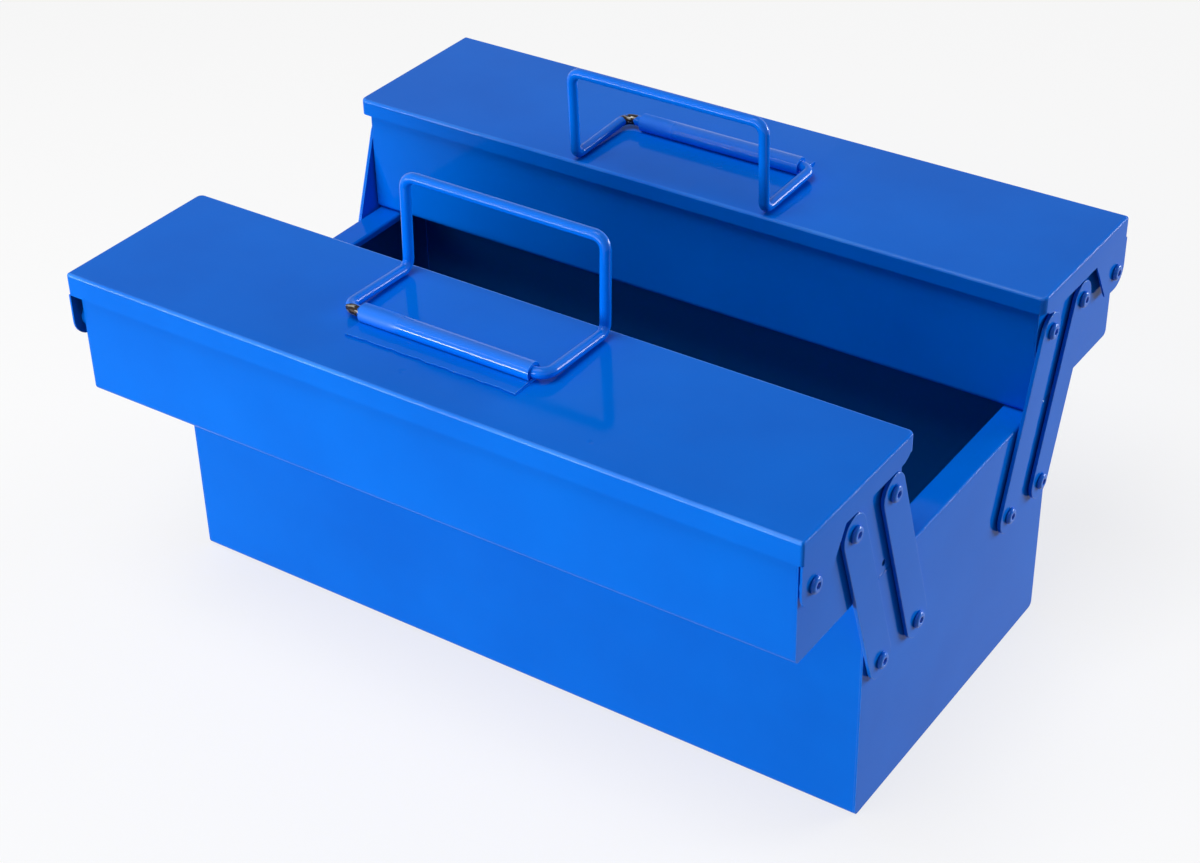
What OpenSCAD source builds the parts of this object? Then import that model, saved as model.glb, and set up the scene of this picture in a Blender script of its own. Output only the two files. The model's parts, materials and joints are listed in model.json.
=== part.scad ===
// Portable cantilever tool box of painted sheet steel, shown open.
// One deep base, and on each long side a lidded tray carried by four parallel link arms.
// Millimetres. X runs along the box, Y from front to back, Z up. The base stands on z = 0.

/* [Base] */
// Length of the base and of both trays, along X
box_l = 400; // [340:1:520]
// Width of the base, front to back
base_w = 190; // [180:1:210]
// Height of the base's walls
base_h = 133; // [125:1:140]
// Thickness of the sheet steel
sheet_t = 1; // [0.8:0.1:1.2]
// Outer radius of the bends along a shell's bottom
bend_r = 3; // [2.5:0.5:5]
// Width of the rim turned in along each end wall's top
end_rim_w = 15; // [10:1:20]
// Width of the rim turned in along the front and back walls' tops
long_rim_w = 9; // [6:1:12]
// Depth of the lip turned down at the inner edge of every rim
rim_lip = 4; // [3:0.5:6]
// Width of the tabs that join an end wall to its shell
tab_w = 12; // [8:1:15]

/* [Trays] */
// Height of a tray's long walls
tray_h = 65.3; // [62:0.1:70]
// Distance of a closed tray's inner wall from the middle of the box
tray_part = 6; // [4:0.5:10]
// Depth of the doubled hem along a tray's long walls
hem_h = 6; // [4:0.5:8]
// How far a tray's end walls stay below its long walls
end_drop = 1; // [0.6:0.1:1.6]
// Radius of the upper corners of a tray's end walls
end_corner_r = 3; // [2.5:0.5:4]
// Radius of the hanging hole low in each tray's end wall
hang_hole_r = 1.6; // [1:0.1:2]
// Height of that hole over the tray's bottom
hang_hole_up = 5; // [5:0.5:7]
// Distance of that hole from the tray's inner wall
hang_hole_in = 12; // [12:1:18]

/* [Link arms] */
// Height of the lower pivots
low_pivot_z = 87; // [80:1:95]
// Height of the upper pivots over the lower ones
arm_rise = 89; // [85:1:92]
// Sideways reach of an arm from its lower pivot to its upper one
arm_lean = 31; // [28:1:32]
// Distance of the outer arms' lower pivots from the base's long wall
low_pivot_in = 12; // [11:0.5:14]
// Distance between the two arms of one end
arm_gap = 35; // [30:1:36]
// Width of an arm
arm_w = 19; // [17:0.5:21]
// Thickness of an arm
arm_t = 2; // [1.6:0.2:2.4]

/* [Lids] */
// Clearance between a tray's top and its lid
lid_gap_top = 1; // [1:0.1:1.4]
// Clearance between a tray's outer wall and its lid's outer flange
lid_gap_out = 3; // [2:0.5:4]
// Clearance between a tray's inner wall and its lid's inner flange
lid_gap_in = 2.5; // [2:0.5:3]
// Clearance between a tray's end walls and its lid's end flanges
lid_gap_end = 3; // [3:0.5:4]
// Depth of the flanges along a lid's outer side and its ends
lid_flange_h = 12; // [11:0.5:13]
// Depth of the flange along a lid's inner side
lid_inner_h = 9; // [7:0.5:10]
// Radius of a lid's two outer corners, seen from above
lid_outer_r = 1.6; // [1.4:0.1:3]
// Radius of a lid's two inner corners, seen from above
lid_inner_r = 3.5; // [3:0.5:5]
// Distance of a lid's hinge rivets from its outer face
hinge_in = 10.5; // [10.3:0.1:10.8]
// Depth of a lid's hinge rivets below its top
hinge_drop = 27; // [25:0.5:29]
// Radius of the lug round a hinge rivet
lug_r = 10; // [9:0.5:10.5]
// Radius of the lug's second corner
lug_corner_r = 4; // [3:0.5:5]
// Distance between the lug's two corner centres
lug_corner_in = 8.5; // [7:0.5:10]
// Width of the lug where it leaves the flange
lug_top_w = 36; // [34:1:40]

/* [Handles] */
// Diameter of the round wire
wire_d = 5.5; // [5:0.1:6]
// Length of a handle, between the centres of its two arms
handle_l = 113; // [105:1:125]
// Reach of a handle's arms from the sleeve to the uprights
handle_reach = 47.5; // [44:0.5:50]
// Height of a handle's grip over its arms
handle_h = 48; // [44:1:52]
// Bend radius at the ends of the rod and of the grip
handle_r = 6; // [5:0.5:9]
// Bend radius between an arm and its upright
upright_r = 5; // [4:0.5:6]
// Length of the sleeve that holds a handle
sleeve_l = 96; // [80:1:98]
// Wall of the rolled sleeve
sleeve_wall = 2; // [1.6:0.1:2.2]
// Reach of the sleeve's welded foot, from the rod's axis
foot_reach = 14.5; // [12:0.5:16]
// Thickness of that foot
foot_t = 1.2; // [1:0.1:1.6]
// Distance of the front sleeve's axis from its lid's inner edge
front_sleeve_in = 55; // [52:1:58]
// Distance of the back sleeve's axis from its lid's inner edge
back_sleeve_in = 49; // [49:1:56]
// Place of the front sleeve's middle along the box
front_sleeve_x = -5; // [-12:0.5:12]
// Place of the back sleeve's middle along the box
back_sleeve_x = -3; // [-12:0.5:12]
// How far each handle has slid to the left in its sleeve
handle_slide = 2.2; // [0:0.1:2.4]

/* [Rivets and washers] */
// Radius of a rivet's shank
shank_r = 2.5; // [2:0.1:3]
// Radius of a rivet's head
head_r = 4.2; // [3.8:0.1:5]
// Thickness of a rivet's head
head_t = 1.8; // [1.4:0.1:2.2]
// Radius of the dish in a rivet's head
dish_r = 1.7; // [1.2:0.1:2]
// Depth of that dish
dish_depth = 1.2; // [0.8:0.1:1.4]
// Thickness of the upset tail inside a wall
tail_t = 1; // [0.8:0.1:1.2]
// Radius of the spacing washers
washer_r = 6; // [5.5:0.5:7]
// Thickness of the washers behind the arms
washer_t = 0.6; // [0.5:0.1:0.8]

/* [Clearances] */
// Gap between faces that slide past each other
face_gap = 0.3; // [0.3:0.05:0.4]
// Radial clearance of an arm or a lid on its rivet
pivot_clear = 0.05; // [0.03:0.01:0.07]
// Radial clearance of each outer arm on its upper rivet, the last pivot to be closed
open_pivot_clear = 0.07; // [0.05:0.01:0.08]
// Radial clearance of the handle's rod in its sleeve
rod_clear = 0.07; // [0.05:0.01:0.08]
// Radial clearance of a shank in what it is riveted to
shank_clear = 0.02; // [0.01:0.01:0.05]

/* [Hidden] */
$fn = 64;

// Half lengths, and the places of the shells along Y and Z
end_x = box_l / 2;
shell_x = end_x - sheet_t;
base_y = base_w / 2;
tray_out_y = base_y + 2 * arm_lean;
tray_in_y = tray_part + 2 * arm_lean;
tray_w = tray_out_y - tray_in_y;
tray_z = base_h + face_gap;
tray_top_z = tray_z + tray_h;
hem_t = 2 * sheet_t;

// Pivots, as [distance from the middle, height]
outer_low = [base_y - low_pivot_in, low_pivot_z];
inner_low = outer_low - [arm_gap, 0];
inner_high = inner_low + [arm_lean, arm_rise];
outer_high = outer_low + [arm_lean, arm_rise];
arm_r = arm_w / 2;

// Lid, over the tray
lid_top_z = tray_top_z + lid_gap_top + sheet_t;
lid_out_y = tray_out_y + lid_gap_out + sheet_t;
lid_in_y = tray_in_y - lid_gap_in - sheet_t;
lid_x = end_x + lid_gap_end + sheet_t;
flange_z = lid_top_z - lid_flange_h;
hinge = [lid_out_y - hinge_in, lid_top_z - hinge_drop];
lug_out = [lid_out_y - lug_r, hinge[1]];
lug_in = lug_out + [-lug_corner_in, lug_corner_r - lug_r];
lug_start = [lid_out_y - lug_top_w, flange_z];

// Stacks outward from an end wall
arm_x = end_x + washer_t + face_gap;
arm_head_x = arm_x + arm_t + face_gap;
spacer_t = lid_gap_end - face_gap;
hinge_head_x = lid_x + face_gap;
hang_hole = [tray_in_y + hang_hole_in, tray_z + hang_hole_up];

// Handle and sleeve
wire_r = wire_d / 2;
sleeve_r = wire_r + rod_clear + sleeve_wall;
rod_z = lid_top_z + sleeve_r;
handle_tilt = asin((sleeve_r - wire_r - face_gap) / handle_reach);
over = 1;

// Puts a shape drawn in (distance from the middle, height) upright in the Y-Z plane,
// with its thickness along +X from x
module upright_plate(x, t) {
  translate([x, 0, 0])
    rotate([90, 0, 90])
      linear_extrude(t)
        children();
}

// Turns +Z to point outward along X: right for side 1, left for side -1
module outward(side, x, spot) {
  translate([side * x, spot[0], spot[1]])
    rotate([0, side * 90, 0])
      children();
}

// The front is the back's mirror image
module front() {
  mirror([0, 1, 0])
    children();
}

// The left end is the right end's mirror image
module left() {
  mirror([1, 0, 0])
    children();
}

// Outline with its two lower corners rounded
module trough_outline(y0, y1, z0, z1, r) {
  translate([y0, z0 + r])
    square([y1 - y0, z1 - z0 - r]);
  translate([y0 + r, z0])
    square([y1 - y0 - 2 * r, r + over]);
  for (y = [y0 + r, y1 - r])
    translate([y, z0 + r])
      circle(r);
}

// Sheet bent into a trough: one wall, the bottom and the other wall
module trough_sheet(y0, y1, z0, z1) {
  difference() {
    trough_outline(y0, y1, z0, z1, bend_r);
    trough_outline(y0 + sheet_t, y1 - sheet_t, z0 + sheet_t, z1 + over, bend_r - sheet_t);
  }
}

// Rectangle from y0 to y1 and from -x to x, with corners of radius r_in at y0 and r_out at y1
module plate_outline(x, y0, y1, r_in, r_out) {
  translate([-x, y0 + r_in])
    square([2 * x, y1 - y0 - r_in - r_out]);
  translate([r_in - x, y0])
    square([2 * (x - r_in), r_in + over]);
  translate([r_out - x, y1 - r_out - over])
    square([2 * (x - r_out), r_out + over]);
  for (side = [-1, 1]) {
    translate([side * (x - r_in), y0 + r_in])
      circle(r_in);
    translate([side * (x - r_out), y1 - r_out])
      circle(r_out);
  }
}

// Tabs folded inward from an end wall, along its two sides and its bottom
module end_tabs(y0, y1, z0, z1, w) {
  for (y = [y0 + sheet_t, y1 - 2 * sheet_t])
    translate([shell_x - w, y, z0 + 2 * bend_r])
      cube([w, sheet_t, z1 - z0 - 4 * bend_r]);
  translate([shell_x - w, y0 + 2 * bend_r, z0 + sheet_t])
    cube([w, y1 - y0 - 4 * bend_r, sheet_t]);
}

module base_shell() {
  color("royalblue") {
    upright_plate(-shell_x, 2 * shell_x)
      trough_sheet(-base_y, base_y, 0, base_h);
    for (side = [0, 1])
      mirror([0, side, 0])
        translate([-shell_x, base_y - sheet_t - long_rim_w, 0])
          long_rim();
  }
}

// Rim and lip along the top of a long base wall
module long_rim() {
  translate([0, 0, base_h - sheet_t])
    cube([2 * shell_x, long_rim_w + sheet_t / 2, sheet_t]);
  translate([0, 0, base_h - rim_lip])
    cube([2 * shell_x, sheet_t, rim_lip]);
}

module base_end() {
  rim_y = base_y - sheet_t - long_rim_w;
  color("dodgerblue")
    difference() {
      union() {
        upright_plate(shell_x, sheet_t)
          trough_outline(-base_y, base_y, 0, base_h, bend_r);
        end_tabs(-base_y, base_y, 0, base_h - rim_lip, tab_w);
        translate([end_x - end_rim_w, -rim_y, base_h - sheet_t])
          cube([end_rim_w - sheet_t / 2, 2 * rim_y, sheet_t]);
        translate([end_x - end_rim_w, -rim_y, base_h - rim_lip])
          cube([sheet_t, 2 * rim_y, rim_lip]);
      }
      for (side = [-1, 1])
        for (spot = [inner_low, outer_low])
          shank_hole([side * spot[0], spot[1]]);
    }
}

module shank_hole(spot) {
  outward(1, shell_x - over, spot)
    cylinder(h = sheet_t + 2 * over, r = shank_r + shank_clear);
}

// Rivet along +Z from a wall's inner face: tail, shank and dished head
module rivet(wall_x, head_x) {
  grip = head_x - wall_x;
  difference() {
    union() {
      translate([0, 0, -tail_t])
        cylinder(h = tail_t, r = head_r - 0.7);
      cylinder(h = grip + head_t / 2, r = shank_r);
      translate([0, 0, grip])
        rivet_head();
    }
    translate([0, 0, grip + head_t - dish_depth])
      cylinder(h = dish_depth + over, r = dish_r);
  }
}

// Flat underneath, with a rolled edge on top
module rivet_head() {
  rotate_extrude()
    union() {
      square([head_r - head_t, head_t]);
      intersection() {
        translate([head_r - head_t, 0])
          circle(head_t);
        square([head_r, head_t]);
      }
    }
}

module washer(t) {
  difference() {
    cylinder(h = t, r = washer_r);
    translate([0, 0, -over])
      cylinder(h = t + 2 * over, r = shank_r + shank_clear);
  }
}

// Rivets at each of the given places, on both ends
module end_rivets(spots, head_x) {
  color("cornflowerblue")
    for (side = [-1, 1])
      for (spot = spots)
        outward(side, shell_x, spot)
          rivet(shell_x, head_x);
}

module end_washers(spots, t) {
  color("steelblue")
    for (side = [-1, 1])
      for (spot = spots)
        outward(side, end_x, spot)
          washer(t);
}

module lower_rivets() {
  end_rivets([inner_low, outer_low], arm_head_x);
}

module lower_washers() {
  end_washers([inner_low, outer_low], washer_t);
}

module upper_rivets() {
  end_rivets([inner_high, outer_high], arm_head_x);
}

module upper_washers() {
  end_washers([inner_high, outer_high], washer_t);
}

module hinge_rivets() {
  end_rivets([hinge], hinge_head_x);
}

module hinge_spacers() {
  end_washers([hinge], spacer_t);
}

// Flat arm with round ends between two pivots
module arm(low, high, high_clear) {
  reach = norm(high - low);
  turn = atan2(high[1] - low[1], high[0] - low[0]);
  color("deepskyblue")
    upright_plate(arm_x, arm_t)
      translate(low)
        rotate(turn)
          difference() {
            union() {
              translate([0, -arm_r])
                square([reach, arm_w]);
              circle(arm_r);
              translate([reach, 0])
                circle(arm_r);
            }
            circle(shank_r + pivot_clear);
            translate([reach, 0])
              circle(shank_r + high_clear);
          }
}

module inner_arm() {
  arm(inner_low, inner_high, pivot_clear);
}

module outer_arm() {
  arm(outer_low, outer_high, open_pivot_clear);
}

module tray_shell() {
  hem_bend_z = tray_top_z - sheet_t;
  color("royalblue")
    upright_plate(-shell_x, 2 * shell_x) {
      trough_sheet(tray_in_y, tray_out_y, tray_z, hem_bend_z);
      for (y = [tray_in_y, tray_out_y - hem_t]) {
        translate([y, tray_top_z - hem_h])
          square([hem_t, hem_h - sheet_t]);
        translate([y + sheet_t, hem_bend_z])
          circle(sheet_t);
      }
    }
}

module tray_end() {
  color("dodgerblue")
    difference() {
      union() {
        upright_plate(shell_x, sheet_t)
          translate([(tray_in_y + tray_out_y) / 2, 0])
            plate_outline(tray_w / 2, tray_z, tray_top_z - end_drop, bend_r, end_corner_r);
        end_tabs(tray_in_y, tray_out_y, tray_z, tray_top_z - hem_h + bend_r, tab_w - 2);
      }
      for (spot = [inner_high, outer_high, hinge])
        shank_hole(spot);
      outward(1, shell_x - over, hang_hole)
        cylinder(h = sheet_t + 2 * over, r = hang_hole_r);
    }
}

// Pressed lid: a flat top with a flange turned down all round, and a hinge lug at each end
module lid() {
  color("cornflowerblue")
    difference() {
      union() {
        translate([0, 0, flange_z])
          linear_extrude(lid_flange_h)
            plate_outline(lid_x, lid_in_y, lid_out_y, lid_inner_r, lid_outer_r);
        upright_plate(lid_x - sheet_t, sheet_t)
          lug();
        upright_plate(-lid_x, sheet_t)
          lug();
      }
      translate([0, 0, flange_z - over])
        linear_extrude(lid_flange_h + over - sheet_t)
          plate_outline(
            lid_x - sheet_t, lid_in_y + sheet_t, lid_out_y - sheet_t,
            lid_inner_r - sheet_t, lid_outer_r - sheet_t
          );
      upright_plate(-lid_x - over, 2 * (lid_x + over))
        inner_flange_cut();
      for (side = [-1, 1])
        outward(side, lid_x - sheet_t - over, hinge)
          cylinder(h = sheet_t + 2 * over, r = shank_r + pivot_clear);
    }
}

// Outline of the lug, from the end flange down round the hinge rivet
module lug() {
  aim = lug_in - lug_start;
  slope = atan2(aim[1], aim[0]) - asin(lug_corner_r / norm(aim));
  edge = sqrt(aim * aim - pow(lug_corner_r, 2));
  touch = lug_start + edge * [cos(slope), sin(slope)];
  corner_y = lid_out_y - lid_outer_r;
  polygon([
    lug_start + [0, sheet_t], [corner_y, flange_z + sheet_t], [corner_y, flange_z],
    [lid_out_y, flange_z], [lid_out_y, lug_out[1]], lug_out + [0, -lug_r],
    lug_in + [0, -lug_corner_r], touch, lug_start
  ]);
  translate(lug_out)
    circle(lug_r);
  translate(lug_in)
    circle(lug_corner_r);
}

// Takes the flanges back to the inner flange's depth, in a quarter round on each end
module inner_flange_cut() {
  difference() {
    translate([lid_in_y - over, flange_z - over])
      square([lid_flange_h + over, lid_flange_h - lid_inner_h + over]);
    translate([lid_in_y + lid_flange_h, lid_top_z])
      circle(lid_flange_h);
  }
}

// Rolled sleeve with its foot on the lid, for a rod at distance y
module handle_sleeve(x, y) {
  color("royalblue")
    upright_plate(x - sleeve_l / 2, sleeve_l)
      translate([y, rod_z])
        difference() {
          union() {
            circle(sleeve_r);
            translate([0, -sleeve_r])
              square([foot_reach, foot_t]);
            translate([-sleeve_r / 2, -sleeve_r])
              square([sleeve_r, foot_t]);
          }
          circle(wire_r + rod_clear);
        }
}

// Handle bent from one wire: the rod in its sleeve, two arms lying on the lid towards the
// middle of the box, two uprights, and the grip
module handle(x, y) {
  color("mediumblue")
    translate([x - handle_slide, y, rod_z])
      rotate([handle_tilt, 0, 0]) {
        cross_wire(0, 0);
        cross_wire(-handle_reach, handle_h);
        for (side = [0, 1])
          mirror([side, 0, 0])
            handle_side();
      }
}

module wire(h) {
  cylinder(h = h, r = wire_r);
}

// Quarter ring of wire about the origin, from +X to +Y
module wire_bend(r) {
  rotate_extrude(angle = 90)
    translate([r, 0])
      circle(wire_r);
}

// The rod or the grip
module cross_wire(y, z) {
  straight = handle_l / 2 - handle_r;
  translate([-straight, y, z])
    rotate([0, 90, 0])
      wire(2 * straight);
}

// The bends, the arm and the upright of one side
module handle_side() {
  side_x = handle_l / 2;
  bend_x = side_x - handle_r;
  foot_y = upright_r - handle_reach;
  translate([bend_x, -handle_r, 0])
    wire_bend(handle_r);
  translate([side_x, -handle_r, 0])
    rotate([90, 0, 0])
      wire(-foot_y - handle_r);
  translate([side_x, foot_y, upright_r])
    rotate([0, 90, 0])
      rotate([0, 0, -90])
        wire_bend(upright_r);
  translate([side_x, -handle_reach, upright_r])
    wire(handle_h - handle_r - upright_r);
  translate([bend_x, -handle_reach, handle_h - handle_r])
    rotate([90, 0, 0])
      wire_bend(handle_r);
}

base_shell();
left() base_end();  // base_end_left
base_end();  // base_end_right

front() lower_rivets();  // front_lower_rivets
front() lower_washers();  // front_lower_washers
lower_rivets();  // back_lower_rivets
lower_washers();  // back_lower_washers

front() left() inner_arm();  // front_inner_arm_left
front() inner_arm();  // front_inner_arm_right
front() left() outer_arm();  // front_outer_arm_left
front() outer_arm();  // front_outer_arm_right
front() tray_shell();  // front_tray_shell
front() left() tray_end();  // front_tray_end_left
front() tray_end();  // front_tray_end_right
front() upper_rivets();  // front_upper_rivets
front() upper_washers();  // front_upper_washers
front() hinge_rivets();  // front_hinge_rivets
front() hinge_spacers();  // front_hinge_spacers
front() lid();  // front_lid
front() handle_sleeve(front_sleeve_x, lid_in_y + front_sleeve_in);  // front_handle_sleeve
front() handle(front_sleeve_x, lid_in_y + front_sleeve_in);  // front_handle

left() inner_arm();  // back_inner_arm_left
inner_arm();  // back_inner_arm_right
left() outer_arm();  // back_outer_arm_left
outer_arm();  // back_outer_arm_right
tray_shell();  // back_tray_shell
left() tray_end();  // back_tray_end_left
tray_end();  // back_tray_end_right
upper_rivets();  // back_upper_rivets
upper_washers();  // back_upper_washers
hinge_rivets();  // back_hinge_rivets
hinge_spacers();  // back_hinge_spacers
lid();  // back_lid
handle_sleeve(back_sleeve_x, lid_in_y + back_sleeve_in);  // back_handle_sleeve
handle(back_sleeve_x, lid_in_y + back_sleeve_in);  // back_handle
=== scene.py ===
"""Looks of a portable cantilever tool box in blue stove enamel, built round its packed CAD model.

The box stands open: a deep base, and on each long side a lidded tray on four link arms.
Every piece is modelled at its CAD node's place, rides on that node's body and stands for it.
"""

import json
import math

import bmesh
import bpy
from bpy.props import FloatProperty, FloatVectorProperty, IntProperty, PointerProperty
from mathutils import Matrix, Vector


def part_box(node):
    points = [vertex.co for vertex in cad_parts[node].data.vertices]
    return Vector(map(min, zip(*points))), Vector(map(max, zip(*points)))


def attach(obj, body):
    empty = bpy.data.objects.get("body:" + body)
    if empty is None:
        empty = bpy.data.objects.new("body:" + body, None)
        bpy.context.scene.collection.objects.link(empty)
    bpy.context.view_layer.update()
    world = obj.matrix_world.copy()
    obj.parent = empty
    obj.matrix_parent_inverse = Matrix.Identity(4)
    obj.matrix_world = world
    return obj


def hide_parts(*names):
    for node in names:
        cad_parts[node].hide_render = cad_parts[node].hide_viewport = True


bl_info = {
    "name": "Cantilever tool box",
    "version": (1, 0, 0),
    "blender": (4, 5, 0),
    "location": "View3D > Sidebar > Tool box",
    "description": "Sheet steel tool box with two lidded trays on link arms, in blue enamel",
    "category": "Object",
}

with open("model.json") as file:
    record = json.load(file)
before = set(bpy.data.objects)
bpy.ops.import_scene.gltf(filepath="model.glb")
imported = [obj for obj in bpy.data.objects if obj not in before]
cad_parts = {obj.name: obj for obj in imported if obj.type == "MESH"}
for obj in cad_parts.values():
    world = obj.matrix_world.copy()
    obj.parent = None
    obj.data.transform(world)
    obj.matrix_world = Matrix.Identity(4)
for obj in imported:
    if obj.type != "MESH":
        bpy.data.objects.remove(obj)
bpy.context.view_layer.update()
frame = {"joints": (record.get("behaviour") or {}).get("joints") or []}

MM = 0.001
NEAR = 0.01 * MM  # Places that are closer than this count as one
DRILL = 9 * MM  # Length of the tool that cuts a round hole
SPARE = 5 * MM  # Room that a cutting tool has beyond what it cuts
SIDES = {"front": -1, "back": 1}
ENDS = {"left": -1, "right": 1}
JOINTS = {joint["name"]: Vector(joint["pos_m"]) for joint in frame["joints"]}

# Material slots of a piece of painted sheet
OUTSIDE, EDGE, INSIDE = range(3)

# Dents in the lids: side, place along X and Y, and radius, in millimetres
DENTS = (
    ("front", -11.8, -144.2, 1.9),
    ("front", 91.2, -146.3, 1.6),
    ("back", 6.1, 98.0, 1.7),
    ("back", 43.9, 89.3, 1.5),
)

# Soft panels: name, property that holds the level, place, and width and height, in metres
PANELS = (
    ("Front left panel", "front", (-0.9, -1.8, 0.1), (1.9, 0.2)),
    ("Upper front strip", "strip", (-0.85, -1.4, 1.1), (1.8, 0.1)),
    ("Back right panel", "side", (2.2, 3.2, 0.45), (2.2, 0.85)),
    ("Overhead panel", "top", (-0.2, -0.65, 2.15), (1.2, 1.2)),
)
MIDDLE = Vector((0, 0, 0.12))  # What the panels point at
FLOOR_SIZE = 24  # Metres, so that its edge is out of sight
FLOOR_DROP = 0.2 * MM  # Keeps the floor clear of the base's bottom

# The photograph's camera: place in metres, and angles to the right of the front, up and of roll
EYE = Vector((0.56610, -0.82421, 0.75795))
AZIMUTH, HEIGHT, ROLL = (math.radians(a) for a in (34.713, 33.705, -1.357))


def linear(code):
    """Linear RGBA of an sRGB hex colour."""
    parts = [int(code[i : i + 2], 16) / 255 for i in (0, 2, 4)]
    return [p / 12.92 if p <= 0.04045 else ((p + 0.055) / 1.055) ** 2.4 for p in parts] + [1.0]


def length(name, mm, note):
    """Property for a length, given in millimetres."""
    return FloatProperty(
        name=name, description=note, default=mm * MM, min=0.0, precision=5, unit="LENGTH"
    )


def angle(name, degrees, note):
    """Property for an angle, given in degrees."""
    return FloatProperty(
        name=name, description=note, default=math.radians(degrees), subtype="ANGLE"
    )


def paint(name, code, note):
    """Property for a colour, given as sRGB hex."""
    return FloatVectorProperty(
        name=name, description=note, default=linear(code)[:3], min=0.0, max=1.0, subtype="COLOR"
    )


def level(name, value, note="Level on a white card at the middle of the box"):
    """Property for an amount of light."""
    return FloatProperty(name=name, description=note, default=value, min=0.0)


class ToolBoxSheet(bpy.types.PropertyGroup):
    """Sizes of the sheet steel parts"""

    sheet: length("Sheet", 1, "Thickness of the sheet steel")
    trough_bend: length("Bottom bends", 3, "Outer radius of the bends along a shell's bottom")
    rim_bend: length("Rim bends", 1.4, "Outer radius of the bends along the base's rims")
    lid_bend: length("Lid bends", 1.5, "Outer radius of the bend round a lid's top")
    long_rim: length("Long rims", 10, "Width of the rims along the base's long walls")
    rim_lip: length("Rim lips", 4, "Depth of the lip at the inner edge of a rim")
    hem: length("Hems", 6, "Depth of the hems along a tray's long walls")
    tab: length("Tray tabs", 10, "Width of the tabs that join a tray's end wall to its shell")
    base_tab: length("Base tabs", 12, "Width of the tabs that join a base's end wall to its shell")
    tab_gap: length("Tab ends", 6, "Distance of a tab's ends from the corners of its wall")
    hole: length("Hanging hole", 1.6, "Radius of the hole in a tray's end wall")
    hole_in: length("Hole distance", 12, "Distance of that hole from the tray's inner wall")
    hole_up: length("Hole height", 5, "Height of that hole over the tray's bottom")
    flange: length("Lid flanges", 12, "Depth of the flanges along a lid's ends and outer side")
    inner_flange: length("Inner lid flange", 9, "Depth of the flange along a lid's inner side")
    lug_start: length("Lug width", 36, "Width of a hinge lug where it leaves the flange")
    lug_foot: length("Lug foot", 20.74, "Width that the lug's sides would have at its lower end")
    lug_round: length("Lug rounding", 10, "Radius of the lug's outer lower corner")
    lug_corner: length("Lug corner", 2.24, "Radius of the lug's inner lower corner")
    outer_round: length("Outer lid corners", 1.6, "Radius of a lid's outer corners, from above")
    inner_round: length("Inner lid corners", 3.5, "Radius of a lid's inner corners, from above")
    cut_edge: length("Cut edges", 0.22, "Radius to which the enamel rounds a cut edge")
    dent: length("Dents", 0.22, "Depth of the small dents in the lids")


class ToolBoxFittings(bpy.types.PropertyGroup):
    """Sizes of the arms, rivets, washers and handles"""

    arm: length("Arm width", 19, "Width of a link arm")
    arm_edge: length("Arm edges", 0.35, "Radius of a link arm's stamped edges")
    pivot_hole: length("Pivot holes", 2.55, "Radius of the holes in the arms and the hinge lugs")
    shank: length("Rivet shank", 2.5, "Radius of a rivet's shank")
    head: length("Rivet head", 4.2, "Radius of a rivet's head")
    head_height: length("Rivet head height", 1.8, "Thickness of a rivet's head")
    dome: length("Rivet dome", 1.44, "Radius to which a rivet's head is rounded")
    dish: length("Rivet dish", 1.75, "Radius of the dish in a rivet's head")
    dish_floor: length("Rivet dish bottom", 1.4, "Radius of that dish at its bottom")
    dish_depth: length("Rivet dish depth", 1.2, "Depth of that dish")
    dish_edge: length("Rivet dish edge", 0.15, "Radius of that dish's edge")
    spread: length("Rivet tail", 3.5, "Radius of a rivet's spread tail")
    tail: length("Rivet tail height", 1, "Thickness of that tail")
    tail_edge: length("Rivet tail edge", 0.5, "Radius of a tail's edge")
    washer_hole: length("Washer hole", 2.52, "Radius of the hole in a washer")
    washer_edge: length("Washer edges", 0.12, "Radius of a washer's edges")
    wire: length("Wire", 5.5, "Diameter of the handles' wire")
    reach: length("Handle reach", 47.5, "Reach of a handle's arms from the rod to the uprights")
    rise: length("Handle height", 48, "Height of a handle's grip over its rod")
    lean: angle("Handle lean", 2.1355, "Drop of a handle's arms from the rod to the lid")
    corner: length("Handle corners", 6, "Bend radius at the ends of a handle's rod and grip")
    knee: length("Handle knees", 5, "Bend radius between a handle's arm and its upright")
    sleeve_wall: length("Sleeve wall", 2, "Thickness of the rolled sleeve")
    sleeve_roll: angle("Sleeve roll", 306, "Angle that a sleeve is rolled round its rod")
    sleeve_edge: length("Sleeve edges", 0.2, "Radius of a sleeve's cut edges")
    foot: length("Sleeve foot", 14.5, "Reach of the sleeve's foot from the rod's axis")
    foot_edge: length("Foot edge", 1.2, "Thickness of the foot at its free edge")
    ripple: length("Foot ripples", 0.45, "Mean depth of the ripples in the foot's free edge")
    turns: IntProperty(name="Roundness", description="Steps in a bend of wire", default=8, min=4)


class ToolBoxPaint(bpy.types.PropertyGroup):
    """Colours of the finishes"""

    blue: paint("Enamel", "006EE2", "Blue stove enamel")
    thick: paint("Thick enamel", "0068DA", "The same enamel where it has flowed thicker")
    # The thin enamel's paler colour is partly thin paint over the edges and partly a painted
    # highlight on the bends
    edge: paint("Thin enamel", "2F86EE", "The same enamel where it has drawn thin over an edge")
    # The inside coat's darker blue is painted shade on the inner faces, where little light reaches
    inside: paint("Inside coat", "0059A2", "Thin dull coat on the inner faces")
    steel: paint("Bare steel", "8D8A85", "Steel where the enamel has rubbed off")
    rust: paint("Tarnish", "2B221C", "Brown film on the bare steel")


class ToolBoxStage(bpy.types.PropertyGroup):
    """Floor, light and camera"""

    floor: paint("Floor", "8F8F8F", "Colour that the floor throws back on the box")
    backdrop: paint("Backdrop", "F7F7F7", "Colour that the room shows behind the box")
    lift: level("Floor lift", 0.74, "Light that the floor shows of itself")
    sky: level("Room", 0.2, "Light from the room all round")
    front: level("Front left panel", 0.93)
    strip: level("Upper front strip", 0.11)
    side: level("Back right panel", 0.95)
    top: level("Overhead panel", 0.53)
    lens: FloatProperty(
        name="Lens", description="Focal length on a 36 mm frame", default=70.34, unit="CAMERA"
    )


# Selecting and shaping


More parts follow.
